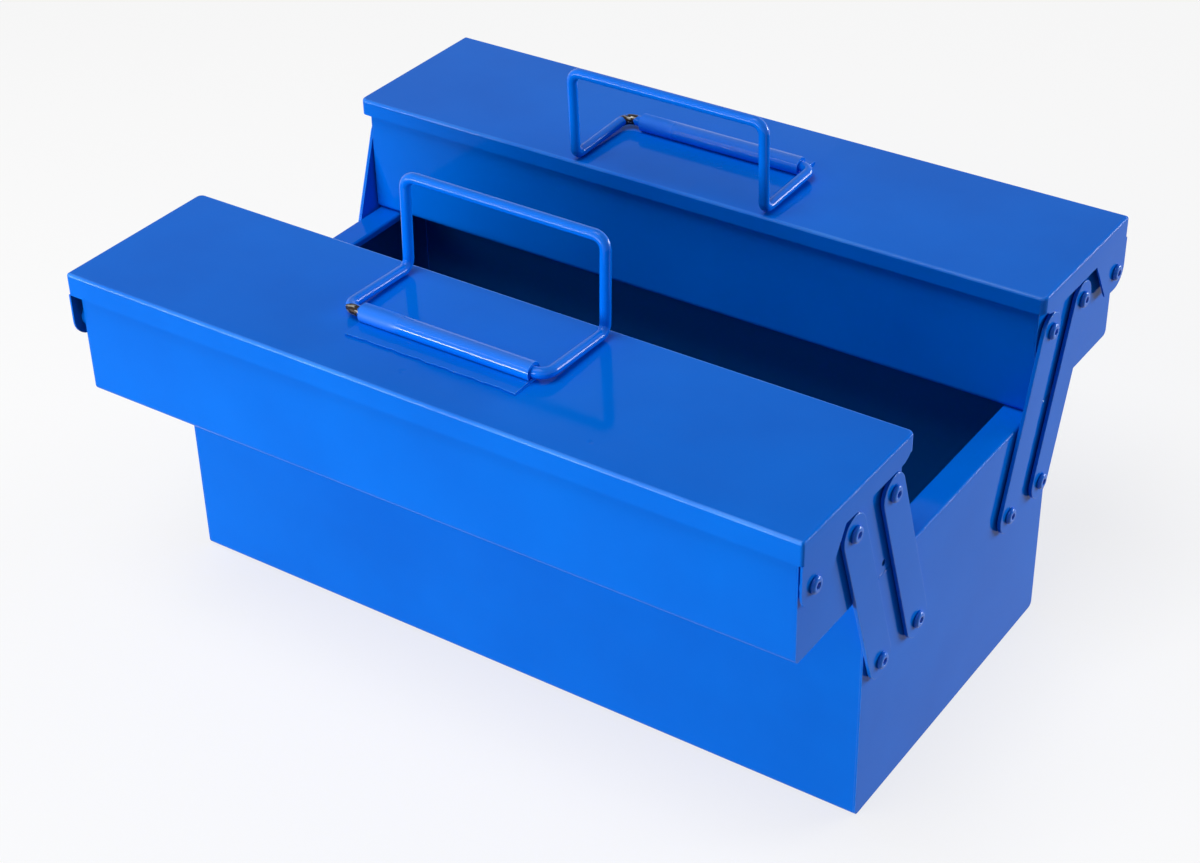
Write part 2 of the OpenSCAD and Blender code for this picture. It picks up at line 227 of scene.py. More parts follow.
def deselect():
    """Deselects everything, the frame's own nodes among it."""
    bpy.ops.object.select_all(action="DESELECT")


def take(piece):
    """Makes a piece the active one and the only one selected."""
    deselect()
    piece.select_set(True)
    bpy.context.view_layer.objects.active = piece


def settle(piece):
    """Moves the object's place, turn and scale into its mesh."""
    take(piece)
    bpy.ops.object.transform_apply(location=True, rotation=True, scale=True)


def begin(name, low, high, finishes=()):
    """New object in edit mode: a flat sheet or a block between two corners, with its finishes."""
    deselect()
    size = Vector(high) - Vector(low)
    middle = (Vector(high) + Vector(low)) / 2
    if min(size) < NEAR:
        thin = list(size).index(min(size))
        turn = ((0, math.pi / 2, 0), (math.pi / 2, 0, 0), (0, 0, 0))[thin]
        bpy.ops.mesh.primitive_plane_add(size=1, location=middle, rotation=turn)
    else:
        bpy.ops.mesh.primitive_cube_add(size=1, location=middle)
    piece = bpy.context.object
    bpy.ops.object.transform_apply(location=False, rotation=True, scale=False)
    piece.scale = [max(s, NEAR) for s in size]
    settle(piece)
    piece.name = piece.data.name = name
    for finish in finishes:
        piece.data.materials.append(finish)
    edit()
    # The last piece may have left face mode, in which a bare edge can't be extruded
    bpy.ops.mesh.select_mode(type="VERT")
    return piece


def edit():
    """Goes to edit mode."""
    bpy.ops.object.mode_set(mode="EDIT")


def close():
    """Back to object mode."""
    bpy.ops.object.mode_set(mode="OBJECT")


def pick(kind, test):
    """In edit mode, selects the vertices, edges or faces that pass the test, and nothing else."""
    bpy.ops.mesh.select_mode(type=kind)
    bpy.ops.mesh.select_all(action="DESELECT")
    data = bpy.context.object.data
    mesh = bmesh.from_edit_mesh(data)
    for part in {"VERT": mesh.verts, "EDGE": mesh.edges, "FACE": mesh.faces}[kind]:
        part.select = bool(test(part))
    mesh.select_flush_mode()
    bmesh.update_edit_mesh(data)


def pick_all():
    """In edit mode, selects the whole mesh."""
    bpy.ops.mesh.select_all(action="SELECT")


def at(**places):
    """Test for lying at the given x, y or z, each a value or a range, in metres."""
    ranges = []
    for axis, place in places.items():
        low, high = place if isinstance(place, tuple) else (place, place)
        ranges.append(("xyz".index(axis), low - NEAR, high + NEAR))

    def test(part):
        points = [part.co] if isinstance(part, bmesh.types.BMVert) else [v.co for v in part.verts]
        return all(low <= co[i] <= high for co in points for i, low, high in ranges)

    return test


def inner(test):
    """The same test, for edges between two faces only."""
    return lambda edge: len(edge.link_faces) == 2 and test(edge)


def run(edge):
    """Length of an edge along X."""
    return abs(edge.verts[0].co.x - edge.verts[1].co.x)


def extrude(x=0, y=0, z=0):
    """Extrudes what is selected by a move."""
    bpy.ops.mesh.extrude_region_move(TRANSFORM_OT_translate={"value": (x, y, z)})


def bend(radius, steps, slot=-1):
    """Rounds the selected edges to a radius, and may give the bend a material slot."""
    bpy.ops.mesh.bevel(offset=radius, segments=steps, profile=0.5, affect="EDGES", material=slot)


def round_corners(radius, steps):
    """Rounds the selected corners of a flat sheet."""
    bpy.ops.mesh.bevel(offset=radius, segments=steps, profile=0.5, affect="VERTICES")


def finish_picked(piece, finish):
    """Gives the selected faces one of the piece's finishes."""
    piece.active_material_index = piece.data.materials.find(finish.name)
    bpy.ops.object.material_slot_assign()


def face_outward():
    """Turns all faces of a closed mesh outward."""
    pick_all()
    bpy.ops.mesh.normals_make_consistent(inside=False)


def face_out(test, direction):
    """Turns the whole skin so that the faces found by the test point in the given direction."""
    face_outward()
    mesh = bmesh.from_edit_mesh(bpy.context.object.data)
    mesh.normal_update()
    face = next(f for f in mesh.faces if test(f))
    if face.normal.dot(Vector(direction)) < 0:
        bpy.ops.mesh.flip_normals()


def apply(piece, kind, **settings):
    """Adds a modifier and applies it."""
    take(piece)
    modifier = piece.modifiers.new(kind.title(), kind)
    for name, value in settings.items():
        setattr(modifier, name, value)
    bpy.ops.object.modifier_apply(modifier=modifier.name)


def thicken(piece, thickness, inside=OUTSIDE):
    """Gives an outer skin its thickness, inward. Its inner faces may take another slot."""
    apply(
        piece, "SOLIDIFY", thickness=thickness, offset=-1, use_even_offset=True,
        use_quality_normals=True, material_offset=inside,
    )


def round_edges(piece, radius, sharp, steps=2):
    """Rounds every edge sharper than an angle in degrees, and gives the new faces the paler edge
    enamel, partly a painted highlight.
    """
    apply(
        piece, "BEVEL", width=radius, segments=steps, limit_method="ANGLE",
        angle_limit=math.radians(sharp), use_clamp_overlap=True, material=EDGE,
        harden_normals=False,
    )


def cut(piece, tool):
    """Takes one closed solid from another, and removes it."""
    apply(piece, "BOOLEAN", object=tool, operation="DIFFERENCE", solver="EXACT")
    bpy.data.objects.remove(tool)


def drum(name, radius, depth, spot, steps, finishes=()):
    """Closed cylinder along X whose middle is at the given spot, in object mode."""
    deselect()
    bpy.ops.mesh.primitive_cylinder_add(
        vertices=steps, radius=radius, depth=depth, location=spot, rotation=(0, math.pi / 2, 0)
    )
    piece = bpy.context.object
    settle(piece)
    piece.name = piece.data.name = name
    for finish in finishes:
        piece.data.materials.append(finish)
    return piece


def drill(piece, radius, spot, steps):
    """Cuts a round hole through a piece, along X."""
    cut(piece, drum("drill", radius, DRILL, spot, steps))


def copy_of(piece, name, x=1, y=1, move=(0, 0, 0)):
    """Copy with its own mesh, mirrored across the middle of the box where x or y is -1."""
    take(piece)
    bpy.ops.object.duplicate(linked=False)
    copy = bpy.context.object
    copy.name = copy.data.name = name
    edit()
    pick_all()
    if (x, y) != (1, 1):
        bpy.ops.transform.resize(value=(x, y, 1), center_override=(0, 0, 0))
    if x * y < 0:
        bpy.ops.mesh.flip_normals()
    if any(move):
        bpy.ops.transform.translate(value=move)
    close()
    return copy


def join(pieces, name):
    """One object from several."""
    deselect()
    for piece in pieces:
        piece.select_set(True)
    bpy.context.view_layer.objects.active = pieces[0]
    bpy.ops.object.join()
    whole = bpy.context.object
    whole.name = whole.data.name = name
    return whole


def spread_out(piece, name, places):
    """One object from mirrored copies of a small piece, at both ends of each (y, z) place."""
    copies = [
        copy_of(piece, "copy", x=x, move=(0, y, z)) for x in ENDS.values() for y, z in places
    ]
    bpy.data.objects.remove(piece)
    return join(copies, name)


def install(piece, body, node, sharp=40):
    """Smooths a finished piece and puts it in its node's place, on its body."""
    take(piece)
    bpy.ops.object.shade_smooth_by_angle(angle=math.radians(sharp))
    apply(piece, "WEIGHTED_NORMAL", mode="FACE_AREA", weight=100, keep_sharp=True)
    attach(piece, body)
    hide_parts(node)


# Finishes


def add_node(tree, kind, inputs=(), stops=(), **settings):
    """Adds a shader node with its settings, and a colour ramp's with its (place, colour) stops.

    Inputs are given in order, or by name. Each is linked to an output or set to a value.
    """
    node = tree.nodes.new("ShaderNode" + kind)
    for name, value in settings.items():
        setattr(node, name, value)
    for socket, value in inputs.items() if isinstance(inputs, dict) else enumerate(inputs):
        if isinstance(value, bpy.types.NodeSocket):
            tree.links.new(value, node.inputs[socket])
        else:
            node.inputs[socket].default_value = value
    for i, (place, colour) in enumerate(stops):
        node.color_ramp.elements[i].position = place
        node.color_ramp.elements[i].color = (*colour, 1)
    return node


def per(mm):
    """Noise scale for a pattern of the given size in millimetres."""
    return 1 / (mm * MM)


def enamel(name, colour, thick, gloss=(0.07, 0.13), peel=0.007, wave=0.05, shine=0.045):
    """Gloss stove enamel on steel sheet: it flows out nearly flat before it is baked.

    What gives it to the eye: a mirror softened by orange peel some 2 mm across, slow waves of the
    sheet under it, and a slightly deeper colour where the paint has run thicker. Gloss is the
    range of roughness, peel and wave are heights in millimetres, shine is the specular level.
    """
    if name in bpy.data.materials:
        return bpy.data.materials[name]
    material = bpy.data.materials.new(name)
    material.use_nodes = True
    tree = material.node_tree
    shader = tree.nodes["Principled BSDF"]
    place = add_node(tree, "TexCoord").outputs["Object"]
    # Runs of thicker paint, some 60 mm across
    flow = add_node(tree, "TexNoise", {"Vector": place, "Scale": per(60), "Detail": 3}).outputs[0]
    tone = add_node(tree, "ValToRGB", [flow], stops=[(0.3, colour), (0.7, thick)])
    tree.links.new(tone.outputs["Color"], shader.inputs["Base Color"])
    # Gloss varies with the bake and with handling, over some 25 mm
    haze = add_node(tree, "TexNoise", {"Vector": place, "Scale": per(25), "Detail": 4}).outputs[0]
    rough = add_node(tree, "MapRange", [haze, 0.35, 0.7, *gloss])
    tree.links.new(rough.outputs["Result"], shader.inputs["Roughness"])
    shader.inputs["IOR"].default_value = 1.5
    shader.inputs["Specular IOR Level"].default_value = shine
    # Waves of the sheet, some 90 mm long, and orange peel, some 2.2 mm across
    sway = add_node(tree, "TexNoise", {"Vector": place, "Scale": per(90), "Detail": 1}).outputs[0]
    waves = add_node(tree, "Bump", {"Height": sway, "Distance": wave * MM, "Strength": 1.0})
    skin = add_node(tree, "TexNoise", {"Vector": place, "Scale": per(2.2), "Detail": 1.5})
    grain = add_node(tree, "Bump", {
        "Height": skin.outputs[0], "Distance": peel * MM, "Strength": 1.0,
        "Normal": waves.outputs["Normal"],
    })
    tree.links.new(grain.outputs["Normal"], shader.inputs["Normal"])
    return material


def outer_enamel():
    """Enamel of the shells, end walls, lids and arms."""
    colours = bpy.context.scene.tool_box_paint
    return enamel("Gloss blue stove enamel", colours.blue, colours.thick)


def edge_enamel_with_highlight():
    """Enamel drawn thin over a cut edge, a little duller. Its paler colour is partly the thin
    paint and partly a painted highlight on the bends.
    """
    colours = bpy.context.scene.tool_box_paint
    return enamel(
        "Thin enamel and painted highlight on edges", colours.edge, colours.blue, gloss=(0.12, 0.22), wave=0, shine=0.2
    )


def shaded_inside_coat():
    """Thin dull coat on the inner faces. Its darker blue is painted shade for the inside of the
    box.
    """
    colours = bpy.context.scene.tool_box_paint
    return enamel(
        "Inside coat darkened as painted shade", colours.inside, colours.inside,
        gloss=(0.35, 0.55), peel=0.015, wave=0.03,
    )


def sheet_finishes():
    """Finishes of a piece of painted sheet: outer faces, cut edges and inner faces."""
    return [outer_enamel(), edge_enamel_with_highlight(), shaded_inside_coat()]


def fitting_enamel():
    """Enamel of the rivets and washers, dipped, so thicker and a little duller."""
    colours = bpy.context.scene.tool_box_paint
    return enamel(
        "Dipped blue enamel on fittings", colours.blue, colours.thick,
        gloss=(0.1, 0.2), peel=0.01, wave=0, shine=0.16,
    )


def sleeve_enamel():
    """The fittings' enamel, dull at the sleeves' left ends, where the weld's heat has dried it."""
    colours = bpy.context.scene.tool_box_paint
    name = "Dipped blue enamel on sleeves"
    if name in bpy.data.materials:
        return bpy.data.materials[name]
    material = enamel(
        name, colours.blue, colours.thick, gloss=(0.06, 0.1), peel=0.005, wave=0, shine=0.32
    )
    tree = material.node_tree
    rough = tree.nodes["Principled BSDF"].inputs["Roughness"]
    place = add_node(tree, "TexCoord").outputs["Object"]
    along = add_node(tree, "SeparateXYZ", [place]).outputs["X"]
    dull = add_node(tree, "MapRange", [along, -36 * MM, -26 * MM, 0.55, 0]).outputs["Result"]
    both = add_node(tree, "Math", [rough.links[0].from_socket, dull], operation="MAXIMUM")
    tree.links.new(both.outputs[0], rough)
    return material


def wire_enamel():
    """The fittings' enamel on the handles, rubbed through on the left bend of the rod.

    What gives it to the eye: there, ragged patches of dark tarnished steel with pale scrapes.
    """
    colours = bpy.context.scene.tool_box_paint
    name = "Rubbed blue enamel on wire"
    if name in bpy.data.materials:
        return bpy.data.materials[name]
    material = enamel(
        name, colours.blue, colours.thick, gloss=(0.1, 0.2), peel=0.01, wave=0, shine=0.16
    )
    tree = material.node_tree
    shader = tree.nodes["Principled BSDF"]
    place = add_node(tree, "TexCoord").outputs["Object"]
    parts = add_node(tree, "SeparateXYZ", [place]).outputs
    # The patch: the left end, near either side's rod, and low
    left, front, back, low = (
        add_node(tree, "MapRange", [parts[axis], start * MM, end * MM, *values]).outputs["Result"]
        for axis, start, end, values in (
            ("X", -56, -50, (1, 0)), ("Y", -120, -117, (1, 0)),
            ("Y", 106, 109, (0, 1)), ("Z", 212, 216, (1, 0)),
        )
    )
    near = add_node(tree, "Math", [front, back], operation="ADD").outputs[0]
    spot = add_node(tree, "Math", [left, near], operation="MULTIPLY").outputs[0]
    spot = add_node(tree, "Math", [spot, low], operation="MULTIPLY").outputs[0]
    # Ragged edge of the rubbed patch, some 3 mm across
    rag = add_node(tree, "TexNoise", {"Vector": place, "Scale": per(3), "Detail": 3}).outputs[0]
    total = add_node(tree, "Math", [spot, rag], operation="ADD").outputs[0]
    bare = add_node(tree, "MapRange", [total, 1.3, 1.4, 0, 1]).outputs["Result"]
    # Scraped streaks in the tarnish, some 1 mm wide and 4 mm long
    along = add_node(tree, "Mapping", {"Vector": place, "Scale": (0.25, 1, 1)}).outputs["Vector"]
    chip = add_node(tree, "TexNoise", {"Vector": along, "Scale": per(1.1), "Detail": 1}).outputs[0]
    metal = add_node(
        tree, "ValToRGB", [chip], stops=[(0.56, colours.rust), (0.66, colours.steel)]
    ).outputs["Color"]
    blue = shader.inputs["Base Color"].links[0].from_socket
    mixed = add_node(tree, "Mix", {0: bare, 6: blue, 7: metal}, data_type="RGBA")
    tree.links.new(mixed.outputs[2], shader.inputs["Base Color"])
    sheen = add_node(tree, "MapRange", [bare, 0, 1, 0, 0.6])
    tree.links.new(sheen.outputs["Result"], shader.inputs["Metallic"])
    rough = shader.inputs["Roughness"].links[0].from_socket
    scuff = add_node(tree, "MapRange", [bare, 0, 1, 0, 0.38]).outputs["Result"]
    worn = add_node(tree, "Math", [rough, scuff], operation="MAXIMUM")
    tree.links.new(worn.outputs[0], shader.inputs["Roughness"])
    return material


# The base


def trough(name, low, high, s, rim, lip, fold, sheet):
    """Sheet bent into a bottom and two long walls, whose edges turn inward and down again."""
    shell = begin(name, low, (high.x, high.y, low.z), sheet_finishes())
    for wall, inward in ((low.y, 1), (high.y, -1)):
        pick("EDGE", at(y=wall, z=low.z))
        extrude(z=high.z - low.z)
        pick("EDGE", at(y=wall, z=high.z))
        extrude(y=inward * rim)
        pick("EDGE", at(y=wall + inward * rim, z=high.z))
        extrude(z=-lip)
    pick("EDGE", lambda e: at(y=low.y, z=low.z)(e) or at(y=high.y, z=low.z)(e))
    bend(s.trough_bend, steps=6)
    pick("EDGE", inner(at(z=high.z)))
    bend(fold, steps=4)
    face_out(at(z=low.z), (0, 0, -1))
    close()
    thicken(shell, sheet, INSIDE)
    round_edges(shell, s.cut_edge, sharp=70)
    return shell


class TOOLBOX_OT_base_shell(bpy.types.Operator):
    """Bends the base's front wall, bottom and back wall from one sheet"""

    bl_idname = "tool_box.base_shell"
    bl_label = "Base shell"

    def execute(self, context):
        s = context.scene.tool_box_sheet
        low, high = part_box("base_shell")
        shell = trough(
            "box_base_shell", low, high, s, rim=s.long_rim, lip=s.rim_lip, fold=s.rim_bend,
            sheet=s.sheet,
        )
        install(shell, "base", "base_shell")
        return {"FINISHED"}


def weld_tabs(low, high, s, width, top):
    """Tabs behind a right end wall, on both sides up to the given height and along the bottom."""
    tabs = []
    for y0, y1, z0, z1 in (
        (high.y - 2 * s.sheet, high.y - s.sheet, low.z + s.tab_gap, top),
        (low.y + s.sheet, low.y + 2 * s.sheet, low.z + s.tab_gap, top),
        (low.y + s.tab_gap, high.y - s.tab_gap, low.z + s.sheet, low.z + 2 * s.sheet),
    ):
        # Each tab runs a tenth of the sheet into the wall
        tab = begin(
            "tab", (high.x - s.sheet - width, y0, z0), (high.x - s.sheet * 0.9, y1, z1),
            [shaded_inside_coat(), edge_enamel_with_highlight()],
        )
        close()
        round_edges(tab, s.cut_edge, sharp=70)
        tabs.append(tab)
    return tabs


class TOOLBOX_OT_base_ends(bpy.types.Operator):
    """Folds the base's two end walls, each with its rim and its welded tabs"""

    bl_idname = "tool_box.base_ends"
    bl_label = "Base ends"

    def execute(self, context):
        s = context.scene.tool_box_sheet
        low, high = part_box("base_end_right")
        rim = high.y - s.long_rim
        wall = begin("box_base_end_right", (high.x, low.y, low.z), high, sheet_finishes())
        pick("VERT", at(z=low.z))
        round_corners(s.trough_bend, steps=6)
        for y in (-rim, rim):
            pick_all()
            bpy.ops.mesh.bisect(plane_co=(high.x, y, 0), plane_no=(0, 1, 0))
        pick("EDGE", at(z=high.z, y=(-rim, rim)))
        extrude(x=low.x - high.x)
        pick("EDGE", at(x=low.x, z=high.z))
        extrude(z=-s.rim_lip)
        pick("EDGE", lambda e: inner(at(z=high.z))(e) and run(e) < NEAR)
        bend(s.rim_bend, steps=4)
        face_out(at(x=high.x), (1, 0, 0))
        close()
        thicken(wall, s.sheet, INSIDE)
        round_edges(wall, s.cut_edge, sharp=70)
        tabs = weld_tabs(low, high, s, s.base_tab, high.z - s.long_rim)
        right = join([wall, *tabs], "box_base_end_right")
        left = copy_of(right, "box_base_end_left", x=-1)
        install(right, "base", "base_end_right")
        install(left, "base", "base_end_left")
        return {"FINISHED"}


# The trays


class TOOLBOX_OT_tray_shells(bpy.types.Operator):
    """Bends the two tray shells, with hems along their long walls"""

    bl_idname = "tool_box.tray_shells"
    bl_label = "Tray shells"

    def execute(self, context):
        s = context.scene.tool_box_sheet
        low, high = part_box("back_tray_shell")
        # Folded flat, with a radius and a sheet that are a hair less, so that no faces meet in it
        shell = trough(
            "box_back_tray_shell", low, high, s, rim=2 * s.sheet, lip=s.hem,
            fold=s.sheet * 0.99, sheet=s.sheet * 0.96,
        )
        front = copy_of(shell, "box_front_tray_shell", y=-1)
        install(shell, "back_tray", "back_tray_shell")
        install(front, "front_tray", "front_tray_shell")
        return {"FINISHED"}


class TOOLBOX_OT_tray_ends(bpy.types.Operator):
    """Cuts the four tray end walls, each with its hanging hole and its welded tabs"""

    bl_idname = "tool_box.tray_ends"
    bl_label = "Tray ends"

    def execute(self, context):
        s = context.scene.tool_box_sheet
        low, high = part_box("back_tray_end_right")
        wall = begin("box_back_tray_end_right", (high.x, low.y, low.z), high, sheet_finishes())
        pick("VERT", at(x=high.x))
        round_corners(s.trough_bend, steps=6)
        face_out(at(x=high.x), (1, 0, 0))
        close()
        thicken(wall, s.sheet, INSIDE)
        drill(wall, s.hole, (high.x, low.y + s.hole_in, low.z + s.hole_up), steps=24)
        round_edges(wall, s.cut_edge, sharp=70)
        tabs = weld_tabs(low, high, s, s.tab, high.z - s.hem - s.sheet)
        first = join([wall, *tabs], "box_back_tray_end_right")
        ends = {("back", "right"): first}
        for side, end in (("back", "left"), ("front", "right"), ("front", "left")):
            ends[side, end] = copy_of(
                first, f"box_{side}_tray_end_{end}", x=ENDS[end], y=SIDES[side]
            )
        for (side, end), piece in ends.items():
            install(piece, f"{side}_tray", f"{side}_tray_end_{end}")
        return {"FINISHED"}


# The lids


def knock(piece, spot, radius, depth):
    """Small round dent in the top of a lid, where a corner of some tool has struck it."""
    take(piece)
    edit()
    # A small cell round the dent keeps the rest of the top flat
    for axis in (Vector((1, 0, 0)), Vector((0, 1, 0))):
        for side in (-2, 2):
            pick("FACE", at(z=spot.z))
            bpy.ops.mesh.bisect(plane_co=spot + axis * side * radius, plane_no=axis)
    close()
    ball = (radius**2 + depth**2) / (2 * depth)
    deselect()
    bpy.ops.mesh.primitive_uv_sphere_add(
        segments=96, ring_count=96, radius=ball, location=spot + Vector((0, 0, ball - depth))
    )
    tool = bpy.context.object
    settle(tool)
    cut(piece, tool)


class TOOLBOX_OT_lids(bpy.types.Operator):
    """Presses the two lids, each with flanges all round and a hinge lug at either end"""

    bl_idname = "tool_box.lids"
    bl_label = "Lids"

    def execute(self, context):
        s = context.scene.tool_box_sheet
        f = context.scene.tool_box_fittings
        low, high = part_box("back_lid")
        hinge = JOINTS["back_lid_hinge"]
        lid = begin("box_back_lid", (low.x, low.y, high.z), high, sheet_finishes())
        skirt = high.z - s.flange
        pick("VERT", at(y=high.y))
        round_corners(s.outer_round, steps=4)
        pick("VERT", at(y=low.y))
        round_corners(s.inner_round, steps=6)
        pick_all()
        extrude(z=-s.flange)
        bpy.ops.mesh.delete(type="ONLY_FACE")
        pick_all()
        bpy.ops.mesh.bisect(plane_co=(0, high.y - s.lug_start, 0), plane_no=(0, 1, 0))
        for x in (low.x, high.x):
            self.lug(s, low, high, x, skirt)
        # The bend round the top, in the paler edge enamel along the sides, where it is drawn
        # sharper and where its paler colour also paints a highlight
        pick("EDGE", lambda e: inner(at(z=high.z))(e) and any(
            abs(face.normal.z) < 0.5 for face in e.link_faces
        ))
        bend(s.lid_bend, steps=4, slot=EDGE)
        end = high.x - s.lid_bend - NEAR
        pick("FACE", lambda face: all(abs(v.co.x) > end for v in face.verts))
        finish_picked(lid, outer_enamel())
        face_out(at(z=high.z), (0, 0, 1))
        close()
        thicken(lid, s.sheet, INSIDE)
        # The inner flange is shallower: the end flanges rise to it in a quarter round
        notch = begin(
            "notch", (low.x - SPARE, low.y - SPARE, skirt - SPARE),
            (high.x + SPARE, low.y + s.flange, high.z - s.inner_flange),
        )
        close()
        across = 2 * (high.x + 3 * SPARE)
        cut(notch, drum("bow", s.flange, across, (0, low.y + s.flange, high.z), steps=96))
        cut(lid, notch)
        for x in (low.x, high.x):
            drill(lid, f.pivot_hole, (x, hinge.y, hinge.z), steps=32)
        round_edges(lid, s.cut_edge, sharp=70)
        lids = {"front": copy_of(lid, "box_front_lid", y=-1), "back": lid}
        for side, x, y, radius in DENTS:
            knock(lids[side], Vector((x * MM, y * MM, high.z)), radius * MM, s.dent)
        install(lids["back"], "back_lid", "back_lid")
        install(lids["front"], "front_lid", "front_lid")
        return {"FINISHED"}

    def lug(self, s, low, high, x, skirt):
        """Draws the hinge lug down from an end flange."""
        rear = high.y - s.outer_round
        pick("EDGE", at(x=x, z=skirt, y=(high.y - s.lug_start, high.y)))
        extrude(z=low.z - skirt)
        pick("EDGE", at(x=x, y=rear, z=(low.z, skirt)))
        extrude(y=s.outer_round)
        pick("EDGE", inner(at(x=x, y=rear, z=(low.z, skirt))))
        bpy.ops.mesh.dissolve_edges(use_verts=True)
        pick("VERT", at(x=x, y=high.y - s.lug_start, z=low.z))
        bpy.ops.transform.translate(value=(0, s.lug_start - s.lug_foot, 0))
        pick("VERT", at(x=x, y=high.y, z=low.z))
        round_corners(s.lug_round, steps=10)
        pick("VERT", at(x=x, y=high.y - s.lug_foot, z=low.z))
        round_corners(s.lug_corner, steps=5)


# The handles


class TOOLBOX_OT_sleeves(bpy.types.Operator):
    """Rolls the two handle sleeves round their rods, each with its welded foot"""

    bl_idname = "tool_box.sleeves"
    bl_label = "Handle sleeves"

    def execute(self, context):
        f = context.scene.tool_box_fittings
        for side, sign in SIDES.items():
            low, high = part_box(f"{side}_handle_sleeve")
            rod = JOINTS[f"{side}_handle_turn"]
            toe = rod.y + sign * f.foot
            sleeve = begin(
                f"box_{side}_handle_sleeve", (low.x, rod.y, low.z),
                (high.x, rod.y, low.z + f.sleeve_wall),
                [sleeve_enamel(), edge_enamel_with_highlight(), outer_enamel()],
            )
            pick_all()
            bpy.ops.mesh.spin(
                steps=34, angle=f.sleeve_roll * sign, center=(0, rod.y, rod.z), axis=(1, 0, 0),
                dupli=False,
            )
            pick("FACE", at(y=rod.y, z=(low.z, low.z + f.sleeve_wall)))
            extrude(y=sign * f.foot)
            pick("VERT", at(y=toe, z=low.z + f.sleeve_wall))
            bpy.ops.transform.translate(value=(0, 0, f.foot_edge - f.sleeve_wall))
            self.ripple(f, low.x, high.x, toe, sign)
            pick_all()
            bpy.ops.mesh.remove_doubles(threshold=0.2 * NEAR)
            face_outward()
            # The foot is painted with the lid
            pick("FACE", lambda face: any(abs(v.co.y - rod.y) > f.foot / 2 for v in face.verts))
            finish_picked(sleeve, outer_enamel())
            close()
            round_edges(sleeve, f.sleeve_edge, sharp=60)
            install(sleeve, f"{side}_lid", f"{side}_handle_sleeve", sharp=35)
        return {"FINISHED"}

    def ripple(self, f, start, end, toe, sign):
        """The foot's free edge is hammered down by hand, so it runs in shallow ripples."""
        parts = 32
        pick("EDGE", lambda e: at(y=toe)(e) and run(e) > f.wire)
        bpy.ops.mesh.subdivide(number_cuts=parts - 1)
        for k in range(1, parts):
            pick("VERT", at(x=start + (end - start) * k / parts, y=toe))
            # Two waves of unlike length, so that no ripple is like the next
            depth = f.ripple * (1 + math.sin(1.9 * k) * math.sin(0.6 * k + sign))
            bpy.ops.transform.translate(value=(0, -sign * depth, 0))


class TOOLBOX_OT_handles(bpy.types.Operator):
    """Bends the two handles from round wire: rod, arms, uprights and grip"""

    bl_idname = "tool_box.handles"
    bl_label = "Handles"

    def execute(self, context):
        f = context.scene.tool_box_fittings
        quarter = math.pi / 2
        for side, sign in SIDES.items():
            low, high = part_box(f"{side}_handle")
            y, z = JOINTS[f"{side}_handle_turn"].yz
            middle = (low.x + high.x) / 2
            half = (high.x - low.x - f.wire) / 2
            deselect()
            bpy.ops.mesh.primitive_circle_add(
                vertices=24, radius=f.wire / 2, location=(0, y, z), rotation=(0, quarter, 0)
            )
            wire = bpy.context.object
            settle(wire)
            edit()
            bpy.ops.mesh.select_mode(type="VERT")
            pick_all()
            # Half of it, from the middle of the rod to the middle of the grip
            bend_x, upright = half - f.corner, y - sign * f.reach
            extrude(x=bend_x)
            self.turn(f, sign * quarter, (bend_x, y - sign * f.corner, z), (0, 0, 1))
            extrude(y=-sign * (f.reach - f.corner - f.knee))
            knee = (half, upright + sign * f.knee, z + f.knee)
            self.turn(f, sign * quarter, knee, (1, 0, 0))
            extrude(z=f.rise - f.corner - f.knee)
            self.turn(f, quarter, (bend_x, upright, z + f.rise - f.corner), (0, 1, 0))
            extrude(x=-bend_x)
            pick_all()
            bpy.ops.transform.rotate(
                value=-sign * f.lean, orient_axis="X", center_override=(0, y, z)
            )
            close()
            apply(
                wire, "MIRROR", use_axis=(True, False, False), use_mirror_merge=True,
                merge_threshold=NEAR,
            )
            edit()
            face_outward()
            bpy.ops.transform.translate(value=(middle, 0, 0))
            close()
            wire.name = wire.data.name = f"box_{side}_handle"
            wire.data.materials.append(wire_enamel())
            install(wire, f"{side}_handle", f"{side}_handle")
        return {"FINISHED"}

    def turn(self, f, angle, centre, axis):
        """Carries the wire's end round a bend."""
        bpy.ops.mesh.spin(steps=f.turns, angle=angle, center=centre, axis=axis, dupli=False)


# The arms and rivets


def pivots(side):
    """Lower and upper pivot of a side's inner and outer arms, on the middle of the box."""
    low, outer = JOINTS[f"{side}_swing"], JOINTS[f"{side}_outer_swing"]
    high = JOINTS[f"{side}_tray_level"]
    return {"inner": (low, high), "outer": (outer, high + outer - low)}


class TOOLBOX_OT_arms(bpy.types.Operator):
    """Stamps the eight link arms from strip, with round ends and rivet holes"""

    bl_idname = "tool_box.arms"
    bl_label = "Link arms"

    def execute(self, context):
        f = context.scene.tool_box_fittings
        half = f.arm / 2
        for kind, (low, high) in pivots("back").items():
            inside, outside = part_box(f"back_{kind}_arm_right")
            middle, reach = (low + high) / 2, (high - low).length / 2 + half
            arm = begin(
                f"box_back_{kind}_arm_right",
                (outside.x, middle.y - half, middle.z - reach),
                (outside.x, middle.y + half, middle.z + reach),
                [outer_enamel(), edge_enamel_with_highlight()],
            )
            pick_all()
            round_corners(half, steps=12)
            pick_all()
            bpy.ops.mesh.remove_doubles(threshold=NEAR)
            lean = math.atan2(high.y - low.y, high.z - low.z)
            bpy.ops.transform.rotate(value=lean, orient_axis="X", center_override=middle)
            face_out(at(x=outside.x), (1, 0, 0))
            close()
            thicken(arm, outside.x - inside.x)
            for pivot in (low, high):
                drill(arm, f.pivot_hole, (outside.x, pivot.y, pivot.z), steps=48)
            round_edges(arm, f.arm_edge, sharp=60, steps=3)
            for side, end in (("back", "left"), ("front", "right"), ("front", "left")):
                name = f"{side}_{kind}_arm_{end}"
                copy = copy_of(arm, "box_" + name, x=ENDS[end], y=SIDES[side])
                install(copy, f"{side}_{kind}_arms", name)
            install(arm, f"back_{kind}_arms", f"back_{kind}_arm_right")
        return {"FINISHED"}


